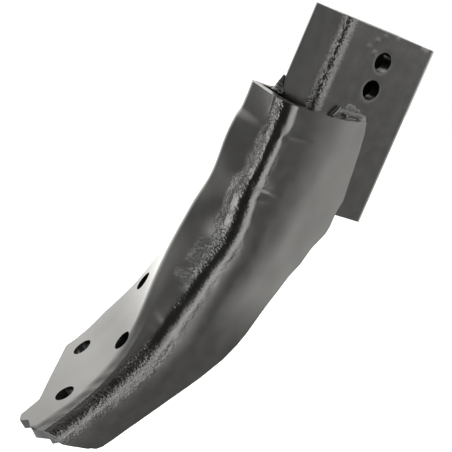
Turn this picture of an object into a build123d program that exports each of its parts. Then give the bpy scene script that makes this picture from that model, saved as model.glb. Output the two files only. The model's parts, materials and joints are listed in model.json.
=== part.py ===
# Plough frog, right-hand: a pressed steel shell welded round the foot of a box-section leg.
# Millimetres. +Z runs up the leg, +X to the rear of the plough, +Y to the mouldboard side.
# The origin is midway between the two leg bolt holes, on the landside face of the leg.
# The shell is one pressed sheet: a flat landside wall, a tight ridge down its front, a front
# strip, and a second fold. From that fold the sheet runs back beside the leg at the top, and
# lower down it opens out into the seat that the mouldboard and the share bolt to.

from build123d import *
from collections import namedtuple
from math import cos, hypot, radians, sin
import os

# Leg tube
leg_width = 100.0
leg_depth = 50.0
leg_wall = 10.0
leg_corner = 9.0
leg_inner_corner = 3.0
leg_length = 155.0
leg_bolt_hole = 17.0
leg_bolt_spacing = 24.0
leg_bolt_setback = 51.0
leg_bolt_margin = 24.0

# Shell sheet
plate = 9.5
leg_fit = 0.3
ridge_inside_radius = 4.5
rim_below_bolts = 41.5
rim_pivot = 21.0
rim_tilt = 4.0
nose_slope = 51.0

# The pressed form, level by level down from the rim. The ridge, the fold and the landside
# wall's rear edge are measured from the leg's front face, forwards for the first two and
# backwards for the last. The fold is set in from the far side of the rim by a share of the
# shell's depth there.
Level = namedtuple("Level", "drop ridge fold inset_share flare reach fold_radius rear")
levels = [
    Level(-10.0, 33.0, 24.5, 0.0, 1.0, 75.0, 6.0, 52.0),
    Level(20.0, 28.5, 26.0, 0.0, 1.5, 80.0, 6.0, 58.0),
    Level(50.0, 29.0, 28.5, 0.0, 3.0, 84.0, 6.0, 62.0),
    Level(80.0, 33.0, 27.5, 0.0, 8.0, 84.0, 7.0, 61.5),
    Level(113.5, 32.5, 33.0, 0.022, 26.0, 74.0, 9.0, 51.5),
    Level(148.5, 40.0, 40.0, 0.122, 48.0, 70.0, 12.0, 38.5),
    Level(183.5, 52.0, 51.5, 0.345, 61.5, 82.0, 20.0, 26.0),
    Level(220.5, 63.5, 63.0, 0.553, 69.0, 105.0, 24.0, 9.0),
    Level(260.5, 84.5, 84.0, 0.682, 70.5, 115.0, 20.0, -24.0),
    Level(298.5, 113.0, 113.0, 0.704, 74.0, 115.0, 18.0, -59.0),
    Level(338.5, 147.0, 147.0, 0.654, 76.0, 115.0, 18.0, -100.0),
]
rear_edge, ridge_edge, fold_edge, seat_edge = range(4)

# Cut edge of the seat and nose: how far it stands out from the rim's far side, and how far it
# lies down the nose slope from the top of the leg's front face at the rim
CutPoint = namedtuple("CutPoint", "out down radius")
seat_shoulder = CutPoint(40.0, 96.0, 0.0)
seat_waist = CutPoint(24.0, 168.0, 40.0)
seat_wing = CutPoint(39.2, 204.0, 25.0)
seat_corner = CutPoint(43.2, 246.2, 4.0)
nose_root = CutPoint(-13.5, 297.5, 5.0)
nose_tooth = CutPoint(-16.8, 316.5, 2.0)
nose_tip = CutPoint(-23.8, 321.2, 2.0)
nose_notch = CutPoint(-31.8, 315.5, 2.0)
nose_end = CutPoint(-47.5, 320.3, 2.0)
nose_ridge = CutPoint(-69.6, 308.2, 0.0)
landside_drop = 311.0
landside_toe = 108.0

# Share and mouldboard bolts, each pair drilled square to its own part of the seat
seat_bolt_hole = 17.0
BoltPair = namedtuple("BoltPair", "ahead inset drop spacing run face")
share_bolts = BoltPair(76.4, 6.6, 272.6, 65.5, (0.549, 0.758, 0.350), (-0.75, 0.30, 0.55))
mouldboard_bolts = BoltPair(47.8, 12.0, 210.1, 65.5, (0.469, 0.641, 0.608), (-0.85, 0.45, 0.25))

# Weld beads
bead_leg = 8.0
bead_crown = 1.0
bead_lap = 3.0
landside_bead_start = 22.0
landside_bead_end = 58.0
rear_bead_margin = 3.0
corner_height = 14.5
corner_spread = 10.0
corner_peak = 2.0
corner_waist_out = 4.4
corner_waist_up = 4.1

# Worked out from the sizes above
leg_front = -leg_bolt_setback
leg_top = leg_bolt_spacing / 2 + leg_bolt_margin
leg_foot = leg_top - leg_length
landside_inner = -leg_fit
landside_outer = landside_inner - plate
far_inner = leg_depth + leg_fit
far_outer = far_inner + plate
shell_depth = far_outer - landside_outer
rim = -rim_below_bolts
ridge_radius = ridge_inside_radius + plate
clear = 300.0


def inward(direction):
    """Square to a run of the sheet, towards the hollow side."""
    return Vector(direction.Y, -direction.X)


def corners(level):
    """Outer corners of the sheet at one level: rear edge, ridge, fold and seat edge."""
    ridge = Vector(leg_front - level.ridge, landside_outer)
    fold = Vector(leg_front - level.fold, far_outer - level.inset_share * shell_depth)
    rear = Vector(leg_front + level.rear, landside_outer)
    flare = radians(level.flare)
    return [rear, ridge, fold, fold + Vector(cos(flare), sin(flare)) * level.reach]


def level_thickness(index, side, direction):
    """How thick a level cut shows the leaning sheet between corners side and side + 1."""
    above = levels[max(index - 1, 0)]
    below = levels[min(index + 1, len(levels) - 1)]
    start = corners(above)
    end = corners(below)
    shift = (end[side] + end[side + 1] - start[side] - start[side + 1]) / 2
    lean = shift.dot(inward(direction)) / (below.drop - above.drop)
    return plate * hypot(1, lean)


def crossing(point, direction, other, other_direction):
    """Where two lines in the level plane cross."""
    gap = other - point
    turn = direction.X * other_direction.Y - direction.Y * other_direction.X
    return point + direction * ((gap.X * other_direction.Y - gap.Y * other_direction.X) / turn)


def shell_section(index):
    """The sheet cut level: out along its outer side and back along its inner side."""
    level = levels[index]
    outer = corners(level)
    runs = [(outer[side + 1] - outer[side]).normalized() for side in range(3)]
    steps = [inward(run) * level_thickness(index, side, run) for side, run in enumerate(runs)]
    inner = [
        outer[0] + steps[0],
        crossing(outer[1] + steps[0], runs[0], outer[1] + steps[1], runs[1]),
        crossing(outer[2] + steps[1], runs[1], outer[2] + steps[2], runs[2]),
        outer[3] + steps[2],
    ]
    fold_inside = level.fold_radius
    radii = [0, ridge_radius, fold_inside + plate, 0, 0, fold_inside, ridge_inside_radius, 0]
    outline = FilletPolyline(*outer, *reversed(inner), radius=radii, close=True)
    return Pos(0, 0, rim - level.drop) * make_face(outline)


def seat_trim():
    """Everything inside the cut edge of the seat and nose, square to the nose's sheet."""
    slope = radians(nose_slope)
    square = Plane(origin=(leg_front, far_outer, rim), x_dir=(0, 1, 0), z_dir=(-sin(slope), 0, cos(slope)))
    cut = [
        CutPoint(-clear, -clear, 0),
        CutPoint(seat_shoulder.out, -clear, 0),
        seat_shoulder,
        seat_waist,
        seat_wing,
        seat_corner,
        nose_root,
        nose_tooth,
        nose_tip,
        nose_notch,
        nose_end,
        nose_ridge,
        CutPoint(-clear, nose_ridge.down, 0),
    ]
    points = [(point.out, point.down) for point in cut]
    outline = FilletPolyline(*points, radius=[point.radius for point in cut], close=True)
    return extrude(square * make_face(outline), clear, both=True)


def rim_plane():
    """The rim's cut: level across, and lower at the ridge than at the rear of the leg."""
    tilt = radians(rim_tilt)
    pivot = (leg_front + rim_pivot, 0, rim)
    return Plane(origin=pivot, x_dir=(cos(tilt), 0, sin(tilt)), z_dir=(-sin(tilt), 0, cos(tilt)))


def rim_trim():
    """The waste above the rim."""
    return rim_plane() * Box(clear, clear, clear, align=(Align.CENTER, Align.CENTER, Align.MIN))


def landside_trim():
    """The waste below the landside's level foot."""
    top_rear = Pos(leg_front - landside_toe, landside_inner + plate / 2, rim - landside_drop)
    return top_rear * Box(clear, 3 * plate, clear, align=(Align.MIN, Align.MAX, Align.MAX))


def seat_bolt_drills(pair):
    """Two drills, square to the seat, on the line of one bolt pair."""
    centre = (leg_front - pair.ahead, far_outer - pair.inset, rim - pair.drop)
    face = Plane(origin=centre, x_dir=pair.run, z_dir=pair.face)
    spots = face * GridLocations(pair.spacing, 0, 2, 1)
    return [spot * Cylinder(seat_bolt_hole / 2, 6 * plate) for spot in spots]


def frog_shell():
    sheet = loft([shell_section(index) for index in range(len(levels))])
    sheet = (sheet & seat_trim()) - rim_trim() - landside_trim()
    return sheet - seat_bolt_drills(share_bolts) - seat_bolt_drills(mouldboard_bolts)


def leg_body(width, depth, corner):
    centre = Pos(leg_front + leg_width / 2, leg_depth / 2, leg_foot)
    return extrude(centre * RectangleRounded(width, depth, corner), leg_length)


def leg_tube():
    bore_width = leg_width - 2 * leg_wall
    bore_depth = leg_depth - 2 * leg_wall
    tube = leg_body(leg_width, leg_depth, leg_corner) - leg_body(bore_width, bore_depth, leg_inner_corner)
    for height in (leg_bolt_spacing / 2, -leg_bolt_spacing / 2):
        tube -= Pos(0, leg_depth / 2, height) * Rot(90, 0, 0) * Cylinder(leg_bolt_hole / 2, 2 * leg_depth)
    return tube


def bead_profile(width, height):
    """A bead's section: its root at the origin, a leg along each axis, and a crowned face."""
    middle = Vector(width + bead_crown, height + bead_crown) / 2
    face = ThreePointArc((width, 0), middle, (0, height))
    return make_face(face + Polyline((0, height), (0, 0), (width, 0)))


def rim_bead(start, end, side):
    """A bead along the rim beside the leg, with round ends. side is -1 landside or +1 far."""
    profile = bead_profile(bead_leg, bead_leg)
    dome = revolve(Plane.XZ * profile, Axis.Z)
    face_y = leg_depth if side > 0 else 0.0
    first, last = (place - leg_front - rim_pivot for place in (start + bead_leg, end - bead_leg))
    run = Plane(origin=(first if side > 0 else last, face_y, 0), x_dir=(0, side, 0), z_dir=(side, 0, 0))
    bead = extrude(run * profile, last - first) + [Pos(place, face_y, 0) * dome for place in (first, last)]
    return rim_plane() * bead


def rear_bead(corner, side):
    """A bead down the rear edge of the landside (side -1) or of the far wall (side +1)."""
    face_y = leg_depth if side > 0 else 0.0
    sections = []
    for level in levels[:5]:
        edge = corners(level)[corner]
        origin = (edge.X - bead_lap, face_y, rim - level.drop)
        place = Plane(origin=origin, x_dir=(1, 0, 0), z_dir=(0, 0, side))
        sections.append(place * bead_profile(bead_leg + bead_lap, bead_leg))
    reach = rim - leg_foot - 2 * rear_bead_margin
    window = Box(clear, clear, reach, align=(Align.CENTER, Align.CENTER, Align.MAX))
    return loft(sections, ruled=True) & Pos(0, 0, rim - rear_bead_margin) * window


def corner_build_up():
    """The heap of weld on the rim at the leg's far front corner, hollow-sided up to the leg."""
    foot = (corner_spread, 0)
    peak = (corner_peak, corner_height)
    waist = (corner_waist_out, corner_waist_up)
    profile = make_face(ThreePointArc(foot, waist, peak) + Polyline(peak, (0, corner_height), (0, 0), foot))
    return rim_plane() * Pos(leg_corner / 2 - rim_pivot, leg_depth, 0) * revolve(Plane.XZ * profile, Axis.Z)


def main():
    shell = frog_shell()
    tube = leg_tube()
    landside_start = leg_front + landside_bead_start
    landside_end = leg_front + landside_bead_end
    far_start = leg_front + leg_corner / 2
    far_end = corners(levels[1])[seat_edge].X
    beads = {
        "landside_rim_weld": rim_bead(landside_start, landside_end, -1),
        "landside_rear_weld": rear_bead(rear_edge, -1),
        "far_rim_weld": rim_bead(far_start, far_end, 1) + corner_build_up(),
        "far_rear_weld": rear_bead(seat_edge, 1),
    }
    nodes = {"frog_shell": shell, "leg_tube": tube}
    for name, bead in beads.items():
        nodes[name] = bead - shell - tube
    os.makedirs("parts", exist_ok=True)
    for name, shape in nodes.items():
        shape.label = name
        export_step(shape, f"parts/{name}.step")
        print(name, len(shape.solids()), round(shape.volume))


main()
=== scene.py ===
import json
import math

import bpy
import numpy as np
from mathutils import Matrix, Vector, noise


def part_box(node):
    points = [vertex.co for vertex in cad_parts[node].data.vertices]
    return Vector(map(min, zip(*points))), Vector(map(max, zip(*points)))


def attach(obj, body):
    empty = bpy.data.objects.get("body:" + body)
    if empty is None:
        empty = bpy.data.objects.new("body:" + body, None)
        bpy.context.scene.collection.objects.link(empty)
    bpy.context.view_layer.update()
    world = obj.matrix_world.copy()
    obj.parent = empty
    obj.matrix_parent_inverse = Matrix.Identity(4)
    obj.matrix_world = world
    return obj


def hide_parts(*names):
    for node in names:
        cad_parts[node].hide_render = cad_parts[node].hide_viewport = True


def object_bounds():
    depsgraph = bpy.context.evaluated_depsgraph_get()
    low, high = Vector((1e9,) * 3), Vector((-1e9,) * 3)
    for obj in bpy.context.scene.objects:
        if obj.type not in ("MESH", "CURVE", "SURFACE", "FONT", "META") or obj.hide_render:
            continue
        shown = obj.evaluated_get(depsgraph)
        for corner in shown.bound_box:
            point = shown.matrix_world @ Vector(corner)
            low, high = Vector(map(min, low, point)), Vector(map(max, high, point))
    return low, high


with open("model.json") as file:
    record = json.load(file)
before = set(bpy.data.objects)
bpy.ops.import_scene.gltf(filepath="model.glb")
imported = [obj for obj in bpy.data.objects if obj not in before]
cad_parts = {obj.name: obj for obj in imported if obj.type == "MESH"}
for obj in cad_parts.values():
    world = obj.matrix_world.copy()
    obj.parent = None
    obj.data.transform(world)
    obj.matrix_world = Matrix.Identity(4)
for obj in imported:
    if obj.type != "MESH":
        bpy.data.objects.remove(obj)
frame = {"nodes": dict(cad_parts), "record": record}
cadLow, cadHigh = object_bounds()
mounts = {mount["name"]: mount for mount in frame["record"]["mounts"]}
print("frame loaded:", sorted(frame["nodes"]))

# Shapes are worked out in millimetres in the CAD's own frame, and become metres in makeMesh.
# +Z runs up the leg, +X to the rear, +Y to the mouldboard side.
toMetres = 0.001
seedStep = 17.3  # shifts one seed's pattern clear of the next
creaseAngle = 36  # degrees: edges that turn more than this stay sharp
notStraight = 0.001  # radians, added so that a bend without a turn keeps a finite radius


def splineThrough(rows):
    # a smooth curve through rows of (height, values...), straight beyond both ends
    table = np.array(sorted(rows), float)
    x, y = table[:, 0], table[:, 1:]
    step = np.diff(x)
    count = len(x)
    matrix = np.eye(count)
    right = np.zeros_like(y)
    for i in range(1, count - 1):
        matrix[i, i - 1:i + 2] = step[i - 1], 2 * (step[i - 1] + step[i]), step[i]
        right[i] = 6 * ((y[i + 1] - y[i]) / step[i] - (y[i] - y[i - 1]) / step[i - 1])
    bend = np.linalg.solve(matrix, right)

    def at(query):
        query = np.clip(np.atleast_1d(query), x[0], x[-1])
        i = np.clip(np.searchsorted(x, query) - 1, 0, count - 2)
        h = step[i][:, None]
        after, before = (query - x[i])[:, None], (x[i + 1] - query)[:, None]
        curved = (bend[i] * before ** 3 + bend[i + 1] * after ** 3) / (6 * h)
        straight = (y[i] / h - bend[i] * h / 6) * before + (y[i + 1] / h - bend[i + 1] * h / 6) * after
        return curved + straight

    return at


def along(rows, query):
    # straight lines between rows of (place, value)
    table = np.array(sorted(rows), float)
    return np.interp(query, table[:, 0], table[:, 1])


def fadeIn(value, start, end):
    # 0 before start, 1 after end, and a soft rise between them
    t = np.clip((value - start) / (end - start), 0, 1)
    return t * t * (3 - 2 * t)


def fadeOut(value, start, end):
    return 1 - fadeIn(value, start, end)


def within(value, start, full, stillFull, end):
    return fadeIn(value, start, full) * fadeOut(value, stillFull, end)


def lumpAt(points, centre, wide):
    # a smooth round lump: 1 at its centre, gone at about twice its width
    return np.exp(-((points - np.array(centre)) ** 2).sum(axis=1) / wide ** 2)


def ripple(points, size, seed, octaves=1):
    # smooth random values from -1 to 1, with lumps about size across
    spots = points / size + seed * seedStep
    if octaves == 1:
        return np.array([noise.noise(Vector(p)) for p in spots])
    # each octave is half as large and half as high as the one before
    return np.array([noise.fractal(Vector(p), 1.0, 2.0, octaves) for p in spots])


def makeMesh(name, points, faces):
    mesh = bpy.data.meshes.new(name)
    corners = [[int(point) for point in face] for face in faces]
    mesh.from_pydata((np.asarray(points, float) * toMetres).tolist(), [], corners)
    mesh.update()
    piece = bpy.data.objects.new(name, mesh)
    bpy.context.scene.collection.objects.link(piece)
    return piece


def readPoints(piece):
    flat = np.zeros(len(piece.data.vertices) * 3, np.float32)
    piece.data.vertices.foreach_get("co", flat)
    return flat.reshape(-1, 3).astype(float) / toMetres


def readNormals(piece):
    flat = np.zeros(len(piece.data.vertices) * 3, np.float32)
    piece.data.vertices.foreach_get("normal", flat)
    return flat.reshape(-1, 3).astype(float)


def writePoints(piece, points):
    low, high = np.array(cadLow) / toMetres, np.array(cadHigh) / toMetres
    kept = np.clip(points, low, high)  # nothing leaves the CAD model's box
    piece.data.vertices.foreach_set("co", (kept * toMetres).astype(np.float32).ravel())
    piece.data.update()


def applyModifiers(piece):
    graph = bpy.context.evaluated_depsgraph_get()
    baked = bpy.data.meshes.new_from_object(piece.evaluated_get(graph))
    piece.modifiers.clear()
    piece.data = baked


def cutWith(piece, cutter, operation="DIFFERENCE"):
    cut = piece.modifiers.new("cut", "BOOLEAN")
    cut.operation = operation
    cut.object = cutter
    cut.solver = "MANIFOLD"
    applyModifiers(piece)
    bpy.data.objects.remove(cutter)


def prism(name, outline, origin, sideways, upward, depth):
    # a closed block: outline points (a, b) along two directions, swept depth each way
    origin, sideways, upward = (np.array(v, float) for v in (origin, sideways, upward))
    through = np.cross(sideways, upward)
    flat = np.array([origin + a * sideways + b * upward for a, b in outline])
    count = len(outline)
    points = np.vstack([flat - through * depth, flat + through * depth])
    faces = [list(range(count))[::-1], list(range(count, 2 * count))]
    faces += [(i, (i + 1) % count, (i + 1) % count + count, i + count) for i in range(count)]
    area = sum(a[0] * b[1] - b[0] * a[1] for a, b in zip(outline, outline[1:] + outline[:1]))
    if area < 0:
        faces = [face[::-1] for face in faces]
    return makeMesh(name, points, faces)


def drill(name, centre, axis, radius, depth, sides=64):
    axis = Vector(axis).normalized()
    turn = axis.to_track_quat("Z", "Y")
    across, up = turn @ Vector((1, 0, 0)), turn @ Vector((0, 1, 0))
    angles = np.linspace(0, 2 * math.pi, sides + 1)[:-1]
    circle = [(radius * math.cos(a), radius * math.sin(a)) for a in angles]
    return prism(name, circle, centre, across, up, depth)


def roundedOutline(corners, steps=6):
    # corners are (a, b, radius); returns the outline with its corners rounded
    outline = []
    count = len(corners)
    for i, (a, b, radius) in enumerate(corners):
        here = np.array((a, b), float)
        if radius <= 0:
            outline.append(tuple(here))
            continue
        before = np.array(corners[i - 1][:2], float) - here
        after = np.array(corners[(i + 1) % count][:2], float) - here
        before, after = before / np.linalg.norm(before), after / np.linalg.norm(after)
        half = math.acos(np.clip(before @ after, -1, 1)) / 2
        reach = radius / math.tan(half)
        start, end = here + before * reach, here + after * reach
        for t in np.linspace(0, 1, steps):
            outline.append(tuple(start * (1 - t) ** 2 + 2 * here * t * (1 - t) + end * t ** 2))
    return outline


def remeshed(piece, voxel, smoothing, factor=0.5):
    skin = piece.modifiers.new("skin", "REMESH")
    skin.mode = "VOXEL"
    skin.voxel_size = voxel * toMetres
    skin.use_smooth_shade = True
    soften = piece.modifiers.new("soften", "SMOOTH")
    soften.factor = factor
    soften.iterations = smoothing
    applyModifiers(piece)


def addAttribute(piece, name, values):
    layer = piece.data.attributes.new(name, "FLOAT", "POINT")
    layer.data.foreach_set("value", np.asarray(values, np.float32))


# Materials: one satin black paint, thin over the sheet's smooth skin and lumpy over its scaled
# ridge and the welds. The roughSkin and bareSkin attributes say where.
paintLooks = {
    "shell_paint": {"dark": (0.0062, 0.0060, 0.0053), "light": (0.0078, 0.0075, 0.0067),
                    "gloss": 0.22, "grain": 0.03, "fineness": 1.0},
    "leg_paint": {"dark": (0.0068, 0.0066, 0.0059), "light": (0.0076, 0.0073, 0.0066),
                  "gloss": 0.23, "grain": 0.03, "fineness": 1.0},
    "weld_paint": {"dark": (0.0062, 0.0060, 0.0054), "light": (0.0110, 0.0106, 0.0095),
                   "gloss": 0.26, "grain": 0.08, "fineness": 1.4},
}
# what all three share: a noise is its lumps in a metre, detail and roughness, and depths are in mm
paintDetail = {
    "cloudNoise": (38, 4, 0.5), "cloudRange": (0.35, 0.68),
    "speckNoise": (520, 2, 0.5), "speckRange": (0.70, 0.78),
    "speckShare": 0.12, "speckColour": (0.055, 0.053, 0.048),
    "bareColour": (0.030, 0.013, 0.008), "bareDullness": 0.3,  # primer and flash rust inside the socket
    "glossNoise": (95, 4, 0.5), "glossRange": (0.3, 0.7), "glossWander": 0.02,
    "peelNoise": (300, 3, 0.55), "peelDepth": 0.5,
    # short strokes of scale
    "strokeNoise": (480, 1.5, 0.5), "strokeDepth": 1.6, "strokeStretch": (0.8, 0.8, 1.5),
    "ior": 1.5, "specular": 0.5,
}


def paintMaterial(name, look, detail):
    material = bpy.data.materials.new(name)
    material.use_nodes = True
    nodes, links = material.node_tree.nodes, material.node_tree.links
    shader = nodes["Principled BSDF"]
    shader.inputs["Specular IOR Level"].default_value = detail["specular"]
    shader.inputs["IOR"].default_value = detail["ior"]
    place = nodes.new("ShaderNodeTexCoord").outputs["Object"]

    def feed(socket, value):
        # links a node's output to the socket, or sets a number or a colour on it
        if isinstance(value, bpy.types.NodeSocket):
            links.new(value, socket)
        elif isinstance(value, tuple):
            socket.default_value = (*value, 1)
        else:
            socket.default_value = value

    def noiseNode(form, fineness=1.0, where=place):
        node = nodes.new("ShaderNodeTexNoise")
        scale, level, roughness = form
        values = {"Scale": scale * fineness, "Detail": level, "Roughness": roughness, "Vector": where}
        for socket, value in values.items():
            feed(node.inputs[socket], value)
        return node.outputs["Fac"]

    def spread(value, oldRange, newRange=(0.0, 1.0)):
        node = nodes.new("ShaderNodeMapRange")
        for socket, number in zip(("From Min", "From Max", "To Min", "To Max"), (*oldRange, *newRange)):
            node.inputs[socket].default_value = number
        links.new(value, node.inputs["Value"])
        return node.outputs["Result"]

    def calc(operation, first, second):
        node = nodes.new("ShaderNodeMath")
        node.operation = operation
        feed(node.inputs[0], first)
        feed(node.inputs[1], second)
        return node.outputs["Value"]

    def mixColours(factor, first, second):
        node = nodes.new("ShaderNodeMix")
        node.data_type = "RGBA"
        for socket, value in (("Factor", factor), ("A", first), ("B", second)):
            feed(node.inputs[socket], value)
        return node.outputs["Result"]

    def bumped(height, strength, depth, under=None):
        node = nodes.new("ShaderNodeBump")
        for socket, value in (("Distance", depth * toMetres), ("Strength", strength), ("Height", height)):
            feed(node.inputs[socket], value)
        if under is not None:
            links.new(under, node.inputs["Normal"])
        return node.outputs["Normal"]

    def attribute(attributeName):
        node = nodes.new("ShaderNodeAttribute")
        node.attribute_name = attributeName
        return node.outputs["Fac"]

    stretch = nodes.new("ShaderNodeMapping")
    stretch.inputs["Scale"].default_value = detail["strokeStretch"]
    links.new(place, stretch.inputs["Vector"])
    rough, bare = attribute("roughSkin"), attribute("bareSkin")

    clouds = spread(noiseNode(detail["cloudNoise"]), detail["cloudRange"])
    specks = spread(noiseNode(detail["speckNoise"]), detail["speckRange"])
    base = mixColours(clouds, look["dark"], look["light"])
    base = mixColours(calc("MULTIPLY", specks, detail["speckShare"]), base, detail["speckColour"])
    base = mixColours(bare, base, detail["bareColour"])
    links.new(base, shader.inputs["Base Color"])

    glossRange = (look["gloss"] - detail["glossWander"], look["gloss"] + detail["glossWander"])
    gloss = spread(noiseNode(detail["glossNoise"]), detail["glossRange"], glossRange)
    gloss = calc("ADD", gloss, calc("MULTIPLY", bare, detail["bareDullness"]))
    links.new(gloss, shader.inputs["Roughness"])

    peel = noiseNode(detail["peelNoise"], look["fineness"])
    strokes = noiseNode(detail["strokeNoise"], look["fineness"], stretch.outputs["Vector"])
    normal = bumped(peel, look["grain"], detail["peelDepth"])
    normal = bumped(strokes, rough, detail["strokeDepth"], normal)
    links.new(normal, shader.inputs["Normal"])
    return material


paints = {name: paintMaterial(name, look, paintDetail) for name, look in paintLooks.items()}


def finishPiece(piece, node, slot):
    for polygon in piece.data.polygons:
        polygon.use_smooth = True
    piece.data.set_sharp_from_angle(angle=math.radians(creaseAngle))
    piece.data.materials.clear()
    piece.data.materials.append(paints[slot])
    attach(piece, "root")
    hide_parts(node)
    print("made", piece.name, "with", len(piece.data.polygons), "faces")


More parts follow.
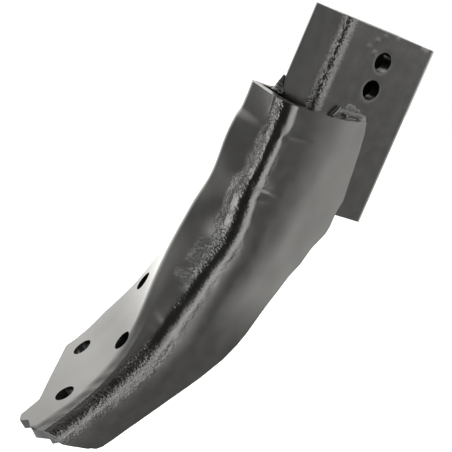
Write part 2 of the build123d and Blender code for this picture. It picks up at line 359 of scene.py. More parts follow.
# The pressed shell: a landside wall, a ridge down the front, a front strip, a second fold, and
# the seat that opens out towards the nose
shellForm = {
    "plate": 9.5,
    "landside": -9.8,
    "highest": -24.0, "lowest": -374.0, "rowStep": 1.5,
    # points along the wall, its front bend, the rest of it, the ridge, the front strip up to its
    # crown, the crown, the rest of the strip, the fold and the seat
    "columns": (58, 12, 8, 22, 8, 14, 8, 26, 70),
    "rearSpare": 22.0,
    "ridgeRadius": [
        (-20, 15.5), (-58, 14.5), (-72, 11.0), (-106, 11.0), (-116, 13.5), (-142, 15.5),
        (-170, 13.5), (-200, 14.5), (-240, 16.0), (-300, 16.0), (-380, 15.5),
    ],
    # the wall turns in before the ridge: how far behind it, how softly, and how deep at each height
    "bendBehind": 10.0, "bendReach": 9.0,
    "wallDip": [
        (-20, 0.15), (-118, 0.15), (-140, 1.0), (-165, 2.0), (-200, 3.0), (-245, 2.6),
        (-290, 1.2), (-330, 0.4), (-380, 0.3),
    ],
    "crown": 0.032,  # the front strip's bulge, as a share of its width
    "crownShare": 0.3, "bendShare": 0.47, "bendGap": 0.5,  # the most that the strip's bends may take up
    # height, ridge x, fold x, fold y, flare in degrees, fold radius, seat reach
    "levels": [
        (-20.0, -85.0, -75.5, 59.8, 1.0, 15.5, 74.0),
        (-31.5, -84.0, -75.5, 59.8, 1.0, 15.5, 75.0),
        (-61.5, -79.5, -77.0, 59.8, 1.5, 15.5, 80.0),
        (-91.5, -80.0, -79.5, 59.8, 3.0, 15.5, 84.0),
        (-121.5, -84.0, -78.5, 59.8, 8.0, 16.5, 84.0),
        (-155.0, -83.5, -84.0, 58.3, 26.0, 18.5, 74.0),
        (-190.0, -91.0, -91.0, 51.3, 48.0, 21.5, 70.0),
        (-225.0, -103.0, -102.5, 35.8, 61.5, 29.5, 82.0),
        (-262.0, -114.5, -114.0, 21.3, 69.0, 33.5, 105.0),
        (-302.0, -135.5, -135.0, 12.3, 70.5, 29.5, 115.0),
        (-340.0, -164.0, -164.0, 10.8, 74.0, 27.5, 115.0),
        (-380.0, -198.0, -198.0, 14.3, 76.0, 27.5, 115.0),
    ],
    # how the pressing wanders from the levels above: height, shift along x
    "ridgeWaves": [
        (-20, -6.3), (-41, -6.3), (-52, -6.0), (-65, -5.3), (-82, -4.7), (-100, -3.0), (-109, -2.0),
        (-113, -2.6), (-117, -4.3), (-124, -4.6), (-134, -3.2), (-144, -0.7), (-155, 1.1), (-166, 2.0),
        (-178, 0.9), (-190, 0.0), (-202, 1.8), (-214, 3.6), (-224, 4.0), (-245, 5.4), (-266, 5.8),
        (-285, 5.2), (-304, 4.8), (-322, 3.6), (-345, 2.8), (-380, 1.5),
    ],
    "foldWaves": [
        (-20, 0.0), (-41, 0.2), (-66, 1.2), (-82, 0.9), (-100, 1.9), (-118, 3.2), (-130, 3.4), (-145, 2.5),
        (-165, 2.8), (-190, 2.3), (-225, 1.9), (-262, 1.9), (-380, 1.9),
    ],
    "foldStep": -1.9, "foldStepAt": (-73.0, -64.0),
    # the rim: x along the shell, height of the cut edge on the landside and on the far side
    "rim": [
        (-110, -43.9, -42.6), (-84, -43.6, -41.9), (-75, -43.5, -41.7), (-55, -42.9, -41.5),
        (-35, -42.2, -41.2), (-18, -41.2, -40.6), (-6, -39.6, -39.8), (2, -37.4, -39.3),
        (30, -37.0, -39.0), (60, -37.0, -39.0),
    ],
    "rimSides": (-10.0, 60.0), "rimCut": {"from": -40.0, "to": 120.0, "top": 60.0},
    # the landside wall's torch-cut rear edge and foot: x, height
    "rearEdge": [
        (2.4, -20.0), (2.4, -40.0), (5.2, -46.5), (8.4, -66.0), (11.2, -87.0), (13.4, -104.5),
        (11.6, -114.0), (11.4, -129.0), (10.2, -135.5), (4.4, -146.5), (2.2, -150.5), (-2.4, -166.5),
        (-8.6, -178.0), (-15.5, -198.7), (-26.4, -231.4), (-31.0, -242.5), (-40.5, -259.5), (-54.6, -278.0),
        (-80.8, -306.8), (-104.0, -332.1), (-112.8, -342.1), (-119.5, -349.2), (-125.0, -352.2),
        (-131.0, -353.0), (-148.7, -352.7), (-159.0, -352.5),
    ],
    "belowFoot": [(-159.0, -420.0), (220.0, -420.0), (220.0, -20.0)],
    "wallCut": {"middle": -17.5, "depth": 22.0},
    # how ragged its edges are
    "torch": {"step": 3.0, "amount": 0.2, "length": 9.0, "longest": 150.0},
    "seatSeed": 3.7, "wallSeed": 8.1,
    # the seat's cut edge: how far out from the rim's far side, how far down the nose slope, radius
    "noseSlope": 51.0,
    "seatCut": [
        (-300.0, -300.0, 0), (40.0, -300.0, 0), (40.0, 96.0, 0), (24.0, 168.0, 40.0), (39.2, 204.0, 25.0),
        (43.2, 246.2, 4.0), (-13.5, 297.5, 5.0), (-16.8, 316.5, 2.0), (-23.8, 321.2, 2.0), (-31.8, 315.5, 2.0),
        (-47.5, 320.3, 2.0), (-69.6, 308.2, 0), (-300.0, 308.2, 0),
    ],
    "seatDepth": 300.0, "boltDepth": 24.0,
    "boltRuns": {"share_bolts": (0.549, 0.758, 0.350), "mouldboard_bolts": (0.469, 0.641, 0.608)},
    "rimSide": (-51.0, 59.8, -41.5),
    # the wall is bowed: it leans back towards its rear edge, which lies down on the leg
    "bowStart": [(-20, -60), (-123, -66), (-184, -78), (-230, -98), (-275, -120), (-400, -170)],
    "bowBlend": 46.0, "bowAngle": 6.5,
    "bowLow": 0.22, "bowFull": (-262.0, -195.0),  # its share low down, and where it is whole
    "bowedEdge": 0.7,  # the leaning edge lies this much further back, as a share of the bow
    # press marks: start (x, height), end (x, height), depth, width
    "pressMarks": [((-75.5, -113.4), (-54.0, -115.4), 0.5, 1.2), ((-74.0, -122.9), (-60.0, -122.6), 0.3, 1.5),
                   ((-68.0, -67.2), (-45.0, -65.9), 0.25, 1.4)],
    "markFades": {"start": (-3.0, 2.0), "end": (-8.0, 3.0), "y": (-2.0, 8.0)},
    # a shallow step in the wall above the lower mark
    "ledge": {"depth": 0.8, "z": (-115.8, -113.2, -113.0, -98.0), "x": (-76.0, -58.0), "y": (-7.0, -4.0)},
    "nibs": [(-76.0, -8.6, -69.5, 3.4, 0.9), (-70.0, -9.0, -46.0, 2.6, 0.4)],  # x, y, z, how wide, how high
    # lumps in the skin: how high, how far across, seed, octaves
    "scaleLumps": (0.16, 4.5, 2.0, 2), "ridgeLumps": (0.30, 8.5, 9.0, 1),
    "sheetLumps": (0.16, 30.0, 3.0, 1), "wallLumps": (0.14, 22.0, 4.0, 1),
    # how far the scale reaches over the front strip: height, y
    "scaleReach": [
        (-40, 3.0), (-70, 8.0), (-100, 14.0), (-130, 16.0), (-170, 12.0), (-190, 8.0), (-205, 1.0),
        (-235, -3.0), (-262, -2.0), (-380, 1.0),
    ],
    "scaleFade": (-6.0, 5.0), "scaleFront": (-5.5, -1.5), "scaleBack": (9.0, 20.0),
    "scaleSpots": (0.9, 13.0, 1.0, 2), "scaleCover": 0.70,
    "onRidge": {"behind": (9.0, 18.0), "y": (6.0, 18.0)},
    "onWall": {"behind": (16.0, 40.0), "y": (-9.7, -6.0)},
    "offWall": (-9.5, -4.0), "bowFront": (-9.5, 0.0),
    # a thinner patch out on the strip, the ridge low down, and the wall beside the ridge
    "patch": {"share": 0.7, "z": (-216.0, -198.0, -172.0, -158.0), "y": (4.0, 9.0, 19.0, 27.0)},
    "lowScale": {"share": 0.75, "z": (-275.0, -240.0), "y": (-3.0, 5.0), "cover": 0.25},
    "wallScale": {"share": 0.22, "z": (-90.0, -60.0), "y": (-6.0, -3.0)},
    # the outer skin faces this way or lies out here, and the socket is in here
    "outerTurn": (0.3, 0.6), "outerFront": -60.0, "outerSide": -3.0,
    "socket": {"front": -73.0, "sides": (0.0, 51.0), "z": (-62.0, -47.0), "share": 0.8},
}


def turnAt(before, corner, after):
    # how much the path before, corner, after turns, in radians
    into, out = corner - before, after - corner
    return math.acos(np.clip(into @ out / np.linalg.norm(into) / np.linalg.norm(out), -1, 1))


def bentSection(corners, radii, counts):
    # points along a run of straights and arcs, the same number for every level
    outline = []
    start = corners[0]
    for i in range(1, len(corners) - 1):
        into = corners[i] - corners[i - 1]
        out = corners[i + 1] - corners[i]
        into, out = into / np.linalg.norm(into), out / np.linalg.norm(out)
        turn = turnAt(corners[i - 1], corners[i], corners[i + 1])
        reach = radii[i - 1] * math.tan(turn / 2)
        tangent = corners[i] - into * reach
        side = 1.0 if into[0] * out[1] < into[1] * out[0] else -1.0
        hollow = np.array((into[1], -into[0])) * side
        shares = np.linspace(0, 1, counts[2 * i - 2], endpoint=False)
        outline += [start + (tangent - start) * share for share in shares]
        centre = tangent + hollow * radii[i - 1]
        for angle in np.linspace(0, turn, counts[2 * i - 1], endpoint=False):
            outline.append(centre + radii[i - 1] * (into * math.sin(angle) - hollow * math.cos(angle)))
        start = corners[i] + out * reach
    outline += [start + (corners[-1] - start) * share for share in np.linspace(0, 1, counts[-1])]
    return outline


def levelSection(form, z, level, ridgeMove, foldMove, rear, radius, dip):
    # the sheet at one height: the wall, its front bend, the ridge, the front strip, the fold, the seat
    ridgeX, foldX, foldY, flare, foldRadius, reach = level
    seatWay = np.array((math.cos(math.radians(flare)), math.sin(math.radians(flare))))
    unmoved = np.array((ridgeX, form["landside"] + dip))
    ridge = unmoved + np.array((ridgeMove, 0.0))
    fold = np.array((foldX + foldMove, foldY))
    back = np.array((rear + form["rearSpare"], form["landside"]))
    front = np.array((ridge[0] + radius + form["bendBehind"], form["landside"]))
    seat = fold + seatWay * reach
    run = fold - unmoved
    width = np.linalg.norm(run)
    middle = unmoved + run / 2 + np.array((-run[1], run[0])) * form["crown"]

    # the bends of a narrow strip are made tighter, so that they don't meet
    begin = radius * math.tan(turnAt(front, ridge, middle) / 2)
    end = foldRadius * math.tan(turnAt(middle, fold, seat) / 2)
    fit = min(1.0, form["bendShare"] * width / max(begin, end))
    free = width / 2 - fit * max(begin, end) - form["bendGap"]
    wallRadius = form["bendReach"] / math.tan(turnAt(back, front, ridge) / 2 + notStraight)
    crownReach = min(free, form["crownShare"] * width)
    crownRadius = crownReach / math.tan(turnAt(ridge, middle, fold) / 2 + notStraight)
    bends = [wallRadius, radius * fit, crownRadius, foldRadius * fit]
    outline = bentSection([back, front, ridge, middle, fold, seat], bends, form["columns"])
    return [(x, y, z) for x, y in outline]


def sheetGrid(form, waves):
    # one skin of the sheet as a grid of points, rows from the rim down; waves is 1, or 0 for none
    heights = np.arange(form["highest"], form["lowest"], -form["rowStep"])
    levels = splineThrough(form["levels"])(heights)
    ridgeShift = splineThrough(form["ridgeWaves"])(heights)[:, 0] * waves
    foldShift = splineThrough(form["foldWaves"])(heights)[:, 0]
    foldShift = (foldShift + form["foldStep"] * fadeOut(heights, *form["foldStepAt"])) * waves
    rearX = along([(z, x) for x, z in form["rearEdge"]], heights)
    radii = along(form["ridgeRadius"], heights)
    dips = along(form["wallDip"], heights)
    rows = zip(heights, levels, ridgeShift, foldShift, rearX, radii, dips)
    return np.array([levelSection(form, *row) for row in rows])


def gridNormals(grid):
    # unit normals of a skin, pointing into the hollow, which is towards +Y from the wall
    down, across = np.gradient(grid, axis=0), np.gradient(grid, axis=1)
    normal = np.cross(across, down)
    normal /= np.linalg.norm(normal, axis=2)[:, :, None]
    onWall = normal[normal.shape[0] // 4, 10]  # any point well inside the flat wall
    return normal if onWall[1] > 0 else -normal


def closedSheet(name, outer, inner):
    rows, columns = outer.shape[:2]
    size = rows * columns
    points = np.vstack([outer.reshape(-1, 3), inner.reshape(-1, 3)])

    def at(row, column, skin):
        return skin * size + row * columns + column

    faces = []
    for r in range(rows - 1):
        for c in range(columns - 1):
            faces.append((at(r, c, 0), at(r, c + 1, 0), at(r + 1, c + 1, 0), at(r + 1, c, 0)))
            faces.append((at(r, c, 1), at(r + 1, c, 1), at(r + 1, c + 1, 1), at(r, c + 1, 1)))
        for c in (0, columns - 1):
            side = (at(r, c, 0), at(r + 1, c, 0), at(r + 1, c, 1), at(r, c, 1))
            faces.append(side if c == 0 else side[::-1])
    for c in range(columns - 1):
        for r in (0, rows - 1):
            end = (at(r, c, 0), at(r, c, 1), at(r, c + 1, 1), at(r, c + 1, 0))
            faces.append(end if r == 0 else end[::-1])
    return makeMesh(name, points, faces)


def rimWaste(form):
    # everything above the rim's cut edge, which is lower on the landside at the front
    rim = np.array(form["rim"], float)
    near, far = form["rimSides"]
    points = []
    for y in (form["rimCut"]["from"], form["rimCut"]["to"]):
        share = (y - near) / (far - near)
        height = rim[:, 1] * (1 - share) + rim[:, 2] * share
        points += [(x, y, z) for x, z in zip(rim[:, 0], height)]
    count = len(rim)
    points += [(x, y, form["rimCut"]["top"]) for x, y, z in points]
    bottom = [(i, i + 1, i + 1 + count, i + count) for i in range(count - 1)]
    top = [tuple(p + 2 * count for p in face[::-1]) for face in bottom]
    front = [(0, count, 3 * count, 2 * count)]
    back = [(count - 1, 3 * count - 1, 4 * count - 1, 2 * count - 1)]
    nearSide = [(i, i + 2 * count, i + 1 + 2 * count, i + 1) for i in range(count - 1)]
    farSide = [tuple(p + count for p in face[::-1]) for face in nearSide]
    faces = bottom + top + front + back + nearSide + farSide
    return makeMesh("rimWaste", points, [face[::-1] for face in faces])


def ragged(outline, torch, seed):
    # a torch-cut edge: points every few millimetres, each a little off the line
    points = []
    for (ax, ay), (bx, by) in zip(outline, outline[1:] + outline[:1]):
        length = math.hypot(bx - ax, by - ay)
        parts = max(1, int(length / torch["step"])) if length < torch["longest"] else 1
        for i in range(parts):
            x, y = ax + (bx - ax) * i / parts, ay + (by - ay) * i / parts
            off = torch["amount"] * noise.noise(Vector((x / torch["length"], y / torch["length"], seed)))
            points.append((x + off * (by - ay) / length, y - off * (bx - ax) / length))
    return points


def ridgeLine(form, z):
    return splineThrough(form["levels"])(z)[:, 0] + splineThrough(form["ridgeWaves"])(z)[:, 0]


def lumps(points, height, size, seed, octaves):
    return height * ripple(points, size, seed, octaves)


def scaledSkin(form, points):
    # how rough the skin is, 0 to 1: left of the ridge on the front strip, and all round it low down
    x, y, z = points.T
    patch, low, wall = form["patch"], form["lowScale"], form["wallScale"]
    cover = np.clip(form["scaleCover"] + lumps(points, *form["scaleSpots"]), 0, 1)
    reach = along(form["scaleReach"], z)
    rough = np.maximum.reduce([
        fadeIn(y, *form["scaleFront"]) * fadeOut(y - reach, *form["scaleFade"]) * cover,
        patch["share"] * within(z, *patch["z"]) * within(y, *patch["y"]) * cover,
        low["share"] * fadeOut(z, *low["z"]) * fadeOut(y, *low["y"]) * np.clip(cover + low["cover"], 0, 1),
        wall["share"] * fadeOut(z, *wall["z"]) * fadeOut(y, *wall["y"]),
    ])
    return np.clip(rough, 0, 1) * fadeOut(x - ridgeLine(form, z), *form["scaleBack"])


def groove(points, fades, start, end, depth, width):
    # a short press mark that runs back from the ridge over the wall, and fades out
    x, y, z = points.T
    line = start[1] + (x - start[0]) * (end[1] - start[1]) / (end[0] - start[0])
    reach = fadeIn(x - start[0], *fades["start"]) * fadeOut(x - end[0], *fades["end"])
    return depth * (reach * fadeOut(y, *fades["y"])) * np.exp(-((z - line) / width) ** 2)


def bowOf(form, x, z):
    # how far the bowed wall leans back from its flat, at x and height z
    bend = np.clip(x - along(form["bowStart"], z), 0, None)
    soft = form["bowBlend"]
    curve = np.where(bend < soft, bend ** 2 / (2 * soft), bend - soft / 2)
    share = form["bowLow"] + (1 - form["bowLow"]) * fadeIn(z, *form["bowFull"])
    return curve * math.tan(math.radians(form["bowAngle"])) * share


def dressSheet(outer, form):
    # moves the outer skin: lumps and scale, press marks, a ledge, nibs and the bow of the wall
    outward = -gridNormals(outer).reshape(-1, 3)
    points = outer.reshape(-1, 3)
    x, y, z = points.T
    behind = x - ridgeLine(form, z)
    onRidge, onWall, ledge = form["onRidge"], form["onWall"], form["ledge"]
    lift = lumps(points, *form["scaleLumps"]) * scaledSkin(form, points)
    nearRidge = fadeOut(behind, *onRidge["behind"])
    lift += lumps(points, *form["ridgeLumps"]) * nearRidge * fadeOut(y, *onRidge["y"])
    lift += lumps(points, *form["sheetLumps"]) * fadeIn(y, *form["offWall"])
    lift += lumps(points, *form["wallLumps"]) * fadeIn(behind, *onWall["behind"]) * fadeOut(y, *onWall["y"])
    lift -= sum(groove(points, form["markFades"], *mark) for mark in form["pressMarks"])
    lift -= ledge["depth"] * within(z, *ledge["z"]) * fadeOut(x, *ledge["x"]) * fadeOut(y, *ledge["y"])
    for *centre, wide, high in form["nibs"]:
        lift += high * lumpAt(points, centre, wide)
    moved = points + outward * lift[:, None]
    moved[:, 1] += bowOf(form, x, z) * fadeOut(y, *form["bowFront"])
    moved[:, 1] = np.maximum(moved[:, 1], form["landside"])
    return moved.reshape(outer.shape)


def pressedShell(form):
    smooth = sheetGrid(form, 0.0)
    inner = smooth + gridNormals(smooth) * form["plate"]
    wall = sum(form["columns"][:3])
    inner[:, :wall, 1] = form["landside"] + form["plate"]  # flat, though the outer face is bowed
    sheet = closedSheet("pressedShell", dressSheet(sheetGrid(form, 1.0), form), inner)

    slope = math.radians(form["noseSlope"])
    down = (-math.cos(slope), 0.0, -math.sin(slope))
    seatEdge = ragged(roundedOutline(form["seatCut"]), form["torch"], form["seatSeed"])
    keep = prism("seatKeep", seatEdge, form["rimSide"], (0, 1, 0), down, form["seatDepth"])
    cutWith(sheet, keep, "INTERSECT")
    cutWith(sheet, rimWaste(form))
    rear = [(x + form["bowedEdge"] * float(bowOf(form, x, z)), z) for x, z in form["rearEdge"]]
    wallEdge = ragged(rear + form["belowFoot"], form["torch"], form["wallSeed"])
    middle = (0, form["wallCut"]["middle"], 0)
    cutWith(sheet, prism("landsideWaste", wallEdge, middle, (1, 0, 0), (0, 0, 1), form["wallCut"]["depth"]))
    for name, run in form["boltRuns"].items():
        mount = mounts[name]
        centre, reach = np.array(mount["pos_m"]) / toMetres, mount["dims"]["pcd_mm"] / 2
        for side in (-1, 1):
            spot = centre + np.array(run) / np.linalg.norm(run) * reach * side
            cutWith(sheet, drill(name, spot, mount["axis"], mount["dims"]["hole_r_mm"], form["boltDepth"]))
    writePoints(sheet, readPoints(sheet))  # the cuts' points too stay in the CAD model's box
    return sheet


def shellMasks(form, piece):
    # scale is on the outer skin only, and bare primer only inside the socket
    points, normals = readPoints(piece), readNormals(piece)
    x, y, z = points.T
    turnX, turnY = form["outerTurn"]
    socket = form["socket"]
    outer = (normals[:, 0] < turnX) & (normals[:, 1] < turnY)
    outer &= (x < form["outerFront"]) | (y < form["outerSide"])
    inside = (x > socket["front"]) & (y > socket["sides"][0]) & (y < socket["sides"][1])
    return scaledSkin(form, points) * outer, inside * fadeIn(z, *socket["z"]) * socket["share"]


def paintMasks(piece, rough, bare):
    addAttribute(piece, "roughSkin", rough)
    addAttribute(piece, "bareSkin", bare)


shell = pressedShell(shellForm)
paintMasks(shell, *shellMasks(shellForm, shell))
finishPiece(shell, "frog_shell", "shell_paint")


# The leg: a rectangular hollow section with two bolt holes through both walls
legForm = {
    "front": -51.0, "rear": 49.0, "depth": 50.0, "foot": -119.0, "top": 36.0,
    "wall": 10.0, "corners": (6.5, 4.0, 4.0, 6.5), "innerCorner": 3.0,
    # its mesh: the cut ends' edges, rows along the leg, and points across the wall and round the box
    "edge": 0.4, "endSpare": 1.2, "step": 1.5, "wallSplit": (0.15, 0.3, 0.5, 0.7, 0.85),
    "sides": (60, 30), "cornerSteps": 9,
    # lumps: how high, how far across, seed, octaves
    "scaleLumps": (0.17, 3.2, 5.0, 2), "dishLumps": (0.05, 40.0, 6.0, 1),
    # the scaled front corner: where it fades along x and y, and how it thins towards the leg's top
    "scaleX": (5.0, 12.0), "scaleY": (5.0, 12.0), "scaleLeast": 0.80, "scaleThins": (-20.0, 30.0),
    "skin": 1.0,  # a point this near to an outer face belongs to it
    # nicks along the cut edges: x, y, z, how wide, how deep
    "nicks": [
        (49.0, 0.0, 20.0, 1.8, 0.5), (49.0, 0.0, 34.0, 2.0, 0.6), (39.0, 0.0, 36.0, 1.8, 0.5),
        (34.5, 0.0, 36.0, 1.4, 0.4), (5.0, 0.0, 36.0, 1.4, 0.3), (49.0, 0.0, -30.0, 1.6, 0.3),
        (49.0, 0.0, -74.0, 1.8, 0.4),
    ],
    # specks of spatter and paint nibs: x, y, z, how wide, how high
    "specks": [
        (-13.0, 0.0, 17.0, 1.3, 0.50), (-21.0, 0.0, 20.0, 1.2, 0.40),
        (-15.0, 0.0, 27.0, 1.4, 0.40), (-9.0, 0.0, 32.0, 1.2, 0.35),
    ],
    "drawn": {"depth": 0.18, "wide": 1.2, "side": 3.0},  # the punch drew the holes' near edges in
}


def boxLoop(left, right, near, far, radii, form):
    # a rounded rectangle with the same number of points whatever its size
    loop = []
    a, b, c, d = radii
    # each corner's centre, and the direction its arc starts in
    middles = [
        (left + a, near + a, 180), (right - b, near + b, 270),
        (right - c, far - c, 0), (left + d, far - d, 90),
    ]
    for i, (cx, cy, begin) in enumerate(middles):
        for angle in np.linspace(begin, begin + 90, form["cornerSteps"]):
            turn = math.radians(angle)
            loop.append((cx + radii[i] * math.cos(turn), cy + radii[i] * math.sin(turn)))
        nx, ny, begin = middles[(i + 1) % 4]
        here, reach = loop[-1], radii[(i + 1) % 4]
        there = (nx + reach * math.cos(math.radians(begin)), ny + reach * math.sin(math.radians(begin)))
        count = form["sides"][i % 2]
        loop += [tuple(np.array(here) + (np.array(there) - here) * t / count) for t in range(1, count)]
    return np.array(loop)


def legTube(form):
    front, rear, depth, wall = form["front"], form["rear"], form["depth"], form["wall"]
    outer = boxLoop(front, rear, 0.0, depth, form["corners"], form)
    inner = boxLoop(front + wall, rear - wall, wall, depth - wall, [form["innerCorner"]] * 4, form)
    edge, foot, top = form["edge"], form["foot"], form["top"]
    rows = np.linspace(foot + form["endSpare"], top - form["endSpare"], int((top - foot) / form["step"]))
    rise = [foot + edge, *rows, top - edge]
    across = [edge / wall, *form["wallSplit"], 1 - edge / wall]
    # round the wall's section: up the outside, over the top, down the inside and back at the foot
    section = [(0, z) for z in rise] + [(share, top) for share in across]
    section += [(1, z) for z in rise[::-1]] + [(share, foot) for share in across[::-1]]
    columns, rings = len(outer), len(section)
    points = []
    for near, far in zip(outer, inner):
        points += [(*(near + (far - near) * share), z) for share, z in section]
    faces = []
    for c in range(columns):
        for r in range(rings):
            d, e = (c + 1) % columns, (r + 1) % rings
            faces.append((c * rings + r, d * rings + r, d * rings + e, c * rings + e))
    return makeMesh("legTube", points, faces)


def bendSkin(form, points):
    # the scaled skin on the leg's near front corner
    x, y = points[:, 0], points[:, 1]
    return fadeOut(x - form["front"], *form["scaleX"]) * fadeOut(y, *form["scaleY"])


def dressLeg(piece, form):
    points, normals = readPoints(piece), readNormals(piece)
    x, y, z = points.T
    skin, hole, drawn = form["skin"], mounts["leg_bolts"]["dims"], form["drawn"]
    outside = (x < form["front"] + skin) | (x > form["rear"] - skin) | (y < skin) | (y > form["depth"] - skin)
    outside |= (z > form["top"] - skin) | (z < form["foot"] + skin)
    bend = bendSkin(form, points)
    lift = lumps(points, *form["scaleLumps"]) * bend
    lift -= (form["dishLumps"][0] + lumps(points, *form["dishLumps"])) * (1 - bend)  # hollow, never proud
    for *centre, wide, deep in form["nicks"]:
        lift -= deep * lumpAt(points, centre, wide)
    for *centre, wide, high in form["specks"]:
        lift += high * lumpAt(points, centre, wide)
    heights = [side * hole["pcd_mm"] / 2 for side in (-1, 1)]
    for height in heights:
        away = np.maximum(np.hypot(x, z - height) - hole["hole_r_mm"], 0)
        lift -= drawn["depth"] * np.exp(-(away / drawn["wide"]) ** 2) * (y < drawn["side"])
    writePoints(piece, points + normals * np.where(outside, lift, 0)[:, None])
    middle = form["depth"] / 2
    for height in heights:
        cutWith(piece, drill("boltHole", (0, middle, height), (0, 1, 0), hole["hole_r_mm"], form["depth"]))


def legMasks(form, piece):
    points, least = readPoints(piece), form["scaleLeast"]
    thinning = fadeOut(points[:, 2], *form["scaleThins"]) * (1 - least) + least
    return bendSkin(form, points) * thinning, np.zeros(len(points))


leg = legTube(legForm)
dressLeg(leg, legForm)
paintMasks(leg, *legMasks(legForm, leg))
finishPiece(leg, "leg_tube", "leg_paint")


# Weld beads: overlapping pools of metal, melted together by a fine remesh
weldSkin = {"lumps": (0.08, 4.0), "octaves": 2, "seed": 20.0, "rough": 0.12}
beadForm = {"seed": 11.0, "flat": (1, 0.4, 1), "wanderStep": 0.83, "wanderRow": 0.4,
            "grow": 0.22, "growStep": 0.61, "growRow": 7.7}
ballForm = {"rings": 10, "sides": 18}


def blobs(name, spots, voxel, smoothing):
    # spots are (centre, radii along x, y, z); each is a ball before they melt together
    points, faces = [], []
    rings, sides = ballForm["rings"], ballForm["sides"]
    for centre, radii in spots:
        base = len(points)
        for i in range(rings + 1):
            polar = math.pi * (i + 0.5) / (rings + 1)
            for j in range(sides):
                around = 2 * math.pi * j / sides
                level = math.sin(polar)
                ball = (level * math.cos(around), level * math.sin(around), math.cos(polar))
                points.append([c + r * b for c, r, b in zip(centre, radii, ball)])
        for i in range(rings):
            for j in range(sides):
                a, b = base + i * sides + j, base + i * sides + (j + 1) % sides
                faces.append((a, a + sides, b + sides, b))
        faces.append([base + j for j in range(sides)])
        faces.append([base + rings * sides + j for j in range(sides)][::-1])
    piece = makeMesh(name, points, faces)
    remeshed(piece, voxel, smoothing)
    return piece


def beadSpots(start, end, pitch, radii, seed, wander):
    # pools every pitch along a line, each a little off it and a little larger or smaller
    start, end = np.array(start, float), np.array(end, float)
    count = max(2, int(np.linalg.norm(end - start) / pitch))
    spots = []
    for i in range(count + 1):
        where = start + (end - start) * i / count
        step = i * beadForm["wanderStep"]
        off = [noise.noise(Vector((step, seed + k, beadForm["wanderRow"]))) for k in range(3)]
        swell = noise.noise(Vector((i * beadForm["growStep"], seed, beadForm["growRow"])))
        grow = 1 + beadForm["grow"] * swell
        spots.append((where + np.array(off) * wander * beadForm["flat"], np.array(radii) * grow))
    return spots


def dressWeld(piece, node, form, seed):
    # ripples the bead, and keeps it within its own spread of the solid bead's box
    low, high = (np.array(corner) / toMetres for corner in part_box(node))
    points, normals = readPoints(piece), readNormals(piece)
    lift = lumps(points, *weldSkin["lumps"], weldSkin["seed"] + seed, weldSkin["octaves"])
    moved = points + normals * lift[:, None]
    writePoints(piece, np.clip(moved, low - form["spread"], high + form["spread"]))
    paintMasks(piece, np.full(len(points), weldSkin["rough"]), np.zeros(len(points)))


# beads are (start, end, pitch, radii), spots are (centre, radii)
weldForms = {
    # a thin pool on the leg above the rim, a stub of wire across it and a bead in the corner
    "landside_rim_weld": {
        "beads": [((-27.0, -1.0, -43.2), (5.0, -1.0, -39.8), 2.4, (3.0, 1.4, 2.0)),
                  ((-19.0, 0.7, -36.0), (4.0, 0.7, -36.0), 2.6, (4.6, 0.9, 4.0)),
                  ((-14.0, 0.75, -31.0), (-4.0, 0.75, -31.5), 2.4, (4.4, 0.85, 4.0)),
                  ((5.5, 0.2, -37.0), (8.0, 0.2, -39.5), 2.0, (2.0, 0.9, 2.4))],
        "spots": [((-29.8, -2.6, -41.0), (1.3, 1.5, 1.6)), ((-28.8, -2.8, -39.2), (1.3, 1.5, 1.6)),
                  ((-27.8, -2.8, -37.4), (1.3, 1.5, 1.6)), ((-26.8, -2.6, -35.6), (1.3, 1.5, 1.6)),
                  ((-25.8, -2.2, -33.8), (1.3, 1.4, 1.5)), ((-15.7, -2.4, -38.3), (1.9, 1.5, 1.4))],
        "voxel": 0.45, "smoothing": 3, "spread": 6.0, "wander": 0.25,
    },
    "landside_rear_weld": {
        "beads": [((5.0, -0.2, -46.0), (9.2, -0.2, -70.0), 1.8, (2.0, 2.0, 2.2)),
                  ((9.2, -0.2, -70.0), (14.0, -0.2, -104.0), 1.8, (2.0, 2.0, 2.2)),
                  ((14.0, -0.2, -104.0), (12.2, -0.2, -114.5), 1.8, (1.9, 2.0, 2.0))],
        "spots": [], "voxel": 0.6, "smoothing": 4, "spread": 0.0, "wander": 0.3,
    },
    # the far bead, and the heap that climbs the leg's front corner from the rim
    "far_rim_weld": {
        "beads": [((-47.0, 52.4, -40.6), (-1.5, 52.6, -37.6), 2.6, (3.2, 3.4, 3.2))],
        "spots": [((-50.2, 48.6, -29.6), (1.2, 1.6, 2.0)), ((-50.4, 48.6, -32.0), (1.6, 2.0, 2.4)),
                  ((-50.8, 48.6, -34.6), (2.2, 2.6, 2.6)), ((-51.2, 48.0, -37.4), (3.0, 3.6, 2.8)),
                  ((-51.8, 47.0, -40.2), (4.0, 4.8, 2.8)), ((-53.0, 46.0, -42.6), (5.2, 6.0, 2.6)),
                  ((-54.2, 50.6, -42.4), (3.6, 2.8, 2.4)), ((-50.9, 42.0, -39.4), (1.5, 1.9, 1.9)),
                  ((-51.2, 44.8, -36.4), (1.3, 1.6, 1.5)), ((-53.4, 43.2, -42.0), (2.2, 2.0, 2.0)),
                  ((-50.8, 39.6, -42.2), (1.8, 2.4, 2.2)), ((-46.0, 51.8, -38.0), (3.4, 3.0, 3.6)),
                  ((-46.5, 50.6, -34.6), (2.6, 2.2, 3.0)), ((-47.4, 49.8, -31.4), (1.8, 1.6, 2.4))],
        "voxel": 0.5, "smoothing": 4, "spread": 2.0, "wander": 0.6,
    },
    "far_rear_weld": {
        "beads": [((4.0, 52.4, -46.5), (8.4, 52.4, -88.0), 2.2, (2.8, 3.0, 2.6)),
                  ((8.4, 52.4, -88.0), (1.6, 52.4, -113.6), 2.2, (2.8, 3.0, 2.6))],
        "spots": [], "voxel": 0.6, "smoothing": 3, "spread": 0.0, "wander": 0.7,
    },
}
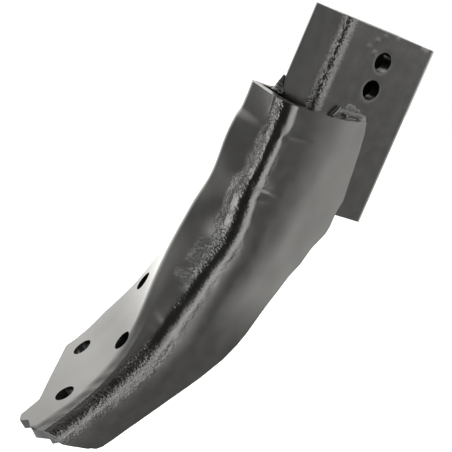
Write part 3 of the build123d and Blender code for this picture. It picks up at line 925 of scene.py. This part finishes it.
weldNames = {"landside_rim_weld": "landsideRimWeld", "landside_rear_weld": "landsideRearWeld",
             "far_rim_weld": "farRimWeld", "far_rear_weld": "farRearWeld"}

for seed, (node, form) in enumerate(weldForms.items()):
    spots = list(form["spots"])
    for start, end, pitch, radii in form["beads"]:
        spots += beadSpots(start, end, pitch, radii, beadForm["seed"] + seed + len(spots), form["wander"])
    bead = blobs(weldNames[node], spots, form["voxel"], form["smoothing"])
    dressWeld(bead, node, form, seed)
    finishPiece(bead, node, "weld_paint")


# Floor, light and camera
floorForm = {"height": -0.56, "size": 14.0, "colour": (0.86, 0.86, 0.85), "dullness": 0.9, "specular": 0.1}


def makeFloor(form):
    half, height = form["size"] / 2 / toMetres, form["height"] / toMetres
    corners = [(-half, -half, height), (half, -half, height), (half, half, height), (-half, half, height)]
    paint = bpy.data.materials.new("paleFloor")
    paint.use_nodes = True
    shader = paint.node_tree.nodes["Principled BSDF"]
    shader.inputs["Base Color"].default_value = (*form["colour"], 1)
    shader.inputs["Roughness"].default_value = form["dullness"]
    shader.inputs["Specular IOR Level"].default_value = form["specular"]
    floor = makeMesh("floor", corners, [(0, 1, 2, 3)])
    floor.data.materials.append(paint)
    floor.visible_glossy = False
    floor.visible_diffuse = False


makeFloor(floorForm)

# The studio's brightness by compass direction, in degrees from +X towards +Y: level with the part,
# and above it. The two blend between aboveFrom and aboveTo, as parts of the way up.
studio = {
    "brightest": 16.0,
    "level": [
        (-180, 7.0), (-174, 4.0), (-167, 0.1), (-108, 0.1), (-100, 5.5), (-84, 8.5), (-70, 8.0),
        (-62, 4.6), (-56, 1.1), (-50, 0.35), (-44, 0.6), (-40, 1.6), (-35, 3.6), (-29, 5.4), (-14, 5.4),
        (4, 2.0), (30, 1.3), (52, 1.4), (62, 2.4), (74, 2.5), (90, 2.6), (98, 2.0), (107, 0.9), (116, 0.6),
        (127, 0.5), (133, 0.8), (142, 6.0), (162, 9.0), (180, 13.0),
    ],
    "above": [
        (-180, 0.9), (-166, 0.1), (-122, 0.1), (-108, 3.0), (-84, 6.0), (-60, 5.0), (-30, 4.0), (0, 2.0),
        (50, 1.2), (66, 1.9), (82, 2.3), (93, 3.6), (104, 3.2), (114, 2.1), (124, 1.2), (135, 0.8),
        (146, 1.1), (165, 1.3), (180, 0.7),
    ],
    "aboveFrom": -0.04, "aboveTo": 0.18,
    "ceiling": 1.3, "ceilingFrom": 0.72, "ceilingTo": 0.92,  # straight up and straight down
    "tint": (1.0, 0.99, 0.955),
    "backdrop": (1, 1, 1, 1),  # what the camera sees behind the part
}


def buildStudio(form):
    world = bpy.data.worlds.new("studio")
    bpy.context.scene.world = world
    world.use_nodes = True
    nodes, links = world.node_tree.nodes, world.node_tree.links
    nodes.clear()

    def mathNode(operation, *values):
        node = nodes.new("ShaderNodeMath")
        node.operation = operation
        for socket, value in zip(node.inputs, values):
            links.new(value, socket)
        return node.outputs[0]

    def mapped(value, start, end, shape="SMOOTHSTEP"):
        node = nodes.new("ShaderNodeMapRange")
        node.interpolation_type = shape
        node.inputs["From Min"].default_value = start
        node.inputs["From Max"].default_value = end
        links.new(value, node.inputs["Value"])
        return node.outputs[0]

    def compassRamp(turn, rows):
        # brightness along a turn of 0 to 1; the ramp's own two stops serve as the first and the last
        ramp = nodes.new("ShaderNodeValToRGB")
        stops = ramp.color_ramp.elements
        for i, (angle, bright) in enumerate(rows):
            if i == 0:
                stop = stops[0]
            elif i == len(rows) - 1:
                stop = stops[-1]
            else:
                stop = stops.new((angle + 180) / 360)
            stop.color = (*(bright / form["brightest"] * tint for tint in form["tint"]), 1)
        links.new(turn, ramp.inputs["Fac"])
        return ramp.outputs["Color"]

    def blended(factor, first, second):
        node = nodes.new("ShaderNodeMix")
        node.data_type = "RGBA"
        links.new(factor, node.inputs["Factor"])
        links.new(first, node.inputs["A"])
        if isinstance(second, tuple):
            node.inputs["B"].default_value = second
        else:
            links.new(second, node.inputs["B"])
        return node.outputs["Result"]

    split = nodes.new("ShaderNodeSeparateXYZ")
    links.new(nodes.new("ShaderNodeTexCoord").outputs["Generated"], split.inputs[0])
    compass = mathNode("ARCTAN2", split.outputs["Y"], split.outputs["X"])
    turn = mapped(compass, -math.pi, math.pi, "LINEAR")
    rise = mapped(split.outputs["Z"], form["aboveFrom"], form["aboveTo"])
    around = blended(rise, compassRamp(turn, form["level"]), compassRamp(turn, form["above"]))
    upright = mapped(mathNode("ABSOLUTE", split.outputs["Z"]), form["ceilingFrom"], form["ceilingTo"])
    ceiling = form["ceiling"] / form["brightest"]
    lamp = blended(upright, around, (ceiling, ceiling, ceiling, 1))

    lit, seen = nodes.new("ShaderNodeBackground"), nodes.new("ShaderNodeBackground")
    links.new(lamp, lit.inputs["Color"])
    lit.inputs["Strength"].default_value = form["brightest"]
    seen.inputs["Color"].default_value = form["backdrop"]
    mix = nodes.new("ShaderNodeMixShader")
    links.new(nodes.new("ShaderNodeLightPath").outputs["Is Camera Ray"], mix.inputs["Fac"])
    links.new(lit.outputs[0], mix.inputs[1])
    links.new(seen.outputs[0], mix.inputs[2])
    links.new(mix.outputs[0], nodes.new("ShaderNodeOutputWorld").inputs["Surface"])


buildStudio(studio)
bpy.context.scene.view_settings.view_transform = "Standard"

# angles in degrees, distances in the part's millimetres, lens and sensor as on a camera
cameraForm = {
    "azimuth": -39.245, "elevation": 9.444, "roll": 23.058,
    "distance": 1240.0, "target": (-84.076, 0.0, -152.206),
    "lens": 124.91, "sensor": 36.0, "nearest": 0.05, "furthest": 60.0,
}


def placeCamera(form):
    azimuth, elevation, roll = (math.radians(form[key]) for key in ("azimuth", "elevation", "roll"))
    level = math.cos(elevation)
    back = Vector((math.sin(azimuth) * level, -math.cos(azimuth) * level, math.sin(elevation)))
    right = (-back).cross(Vector((0, 0, 1))).normalized()
    up = right.cross(-back)
    side = right * math.cos(roll) + up * math.sin(roll)
    top = up * math.cos(roll) - right * math.sin(roll)
    data = bpy.data.cameras.new("photoCamera")
    data.lens = form["lens"]
    data.sensor_width = form["sensor"]
    data.clip_start = form["nearest"]
    data.clip_end = form["furthest"]
    camera = bpy.data.objects.new("photoCamera", data)
    bpy.context.scene.collection.objects.link(camera)
    place = (Vector(form["target"]) + back * form["distance"]) * toMetres
    camera.matrix_world = Matrix.Translation(place) @ Matrix((side, top, back)).transposed().to_4x4()
    bpy.context.scene.camera = camera


placeCamera(cameraForm)
print("stage set")
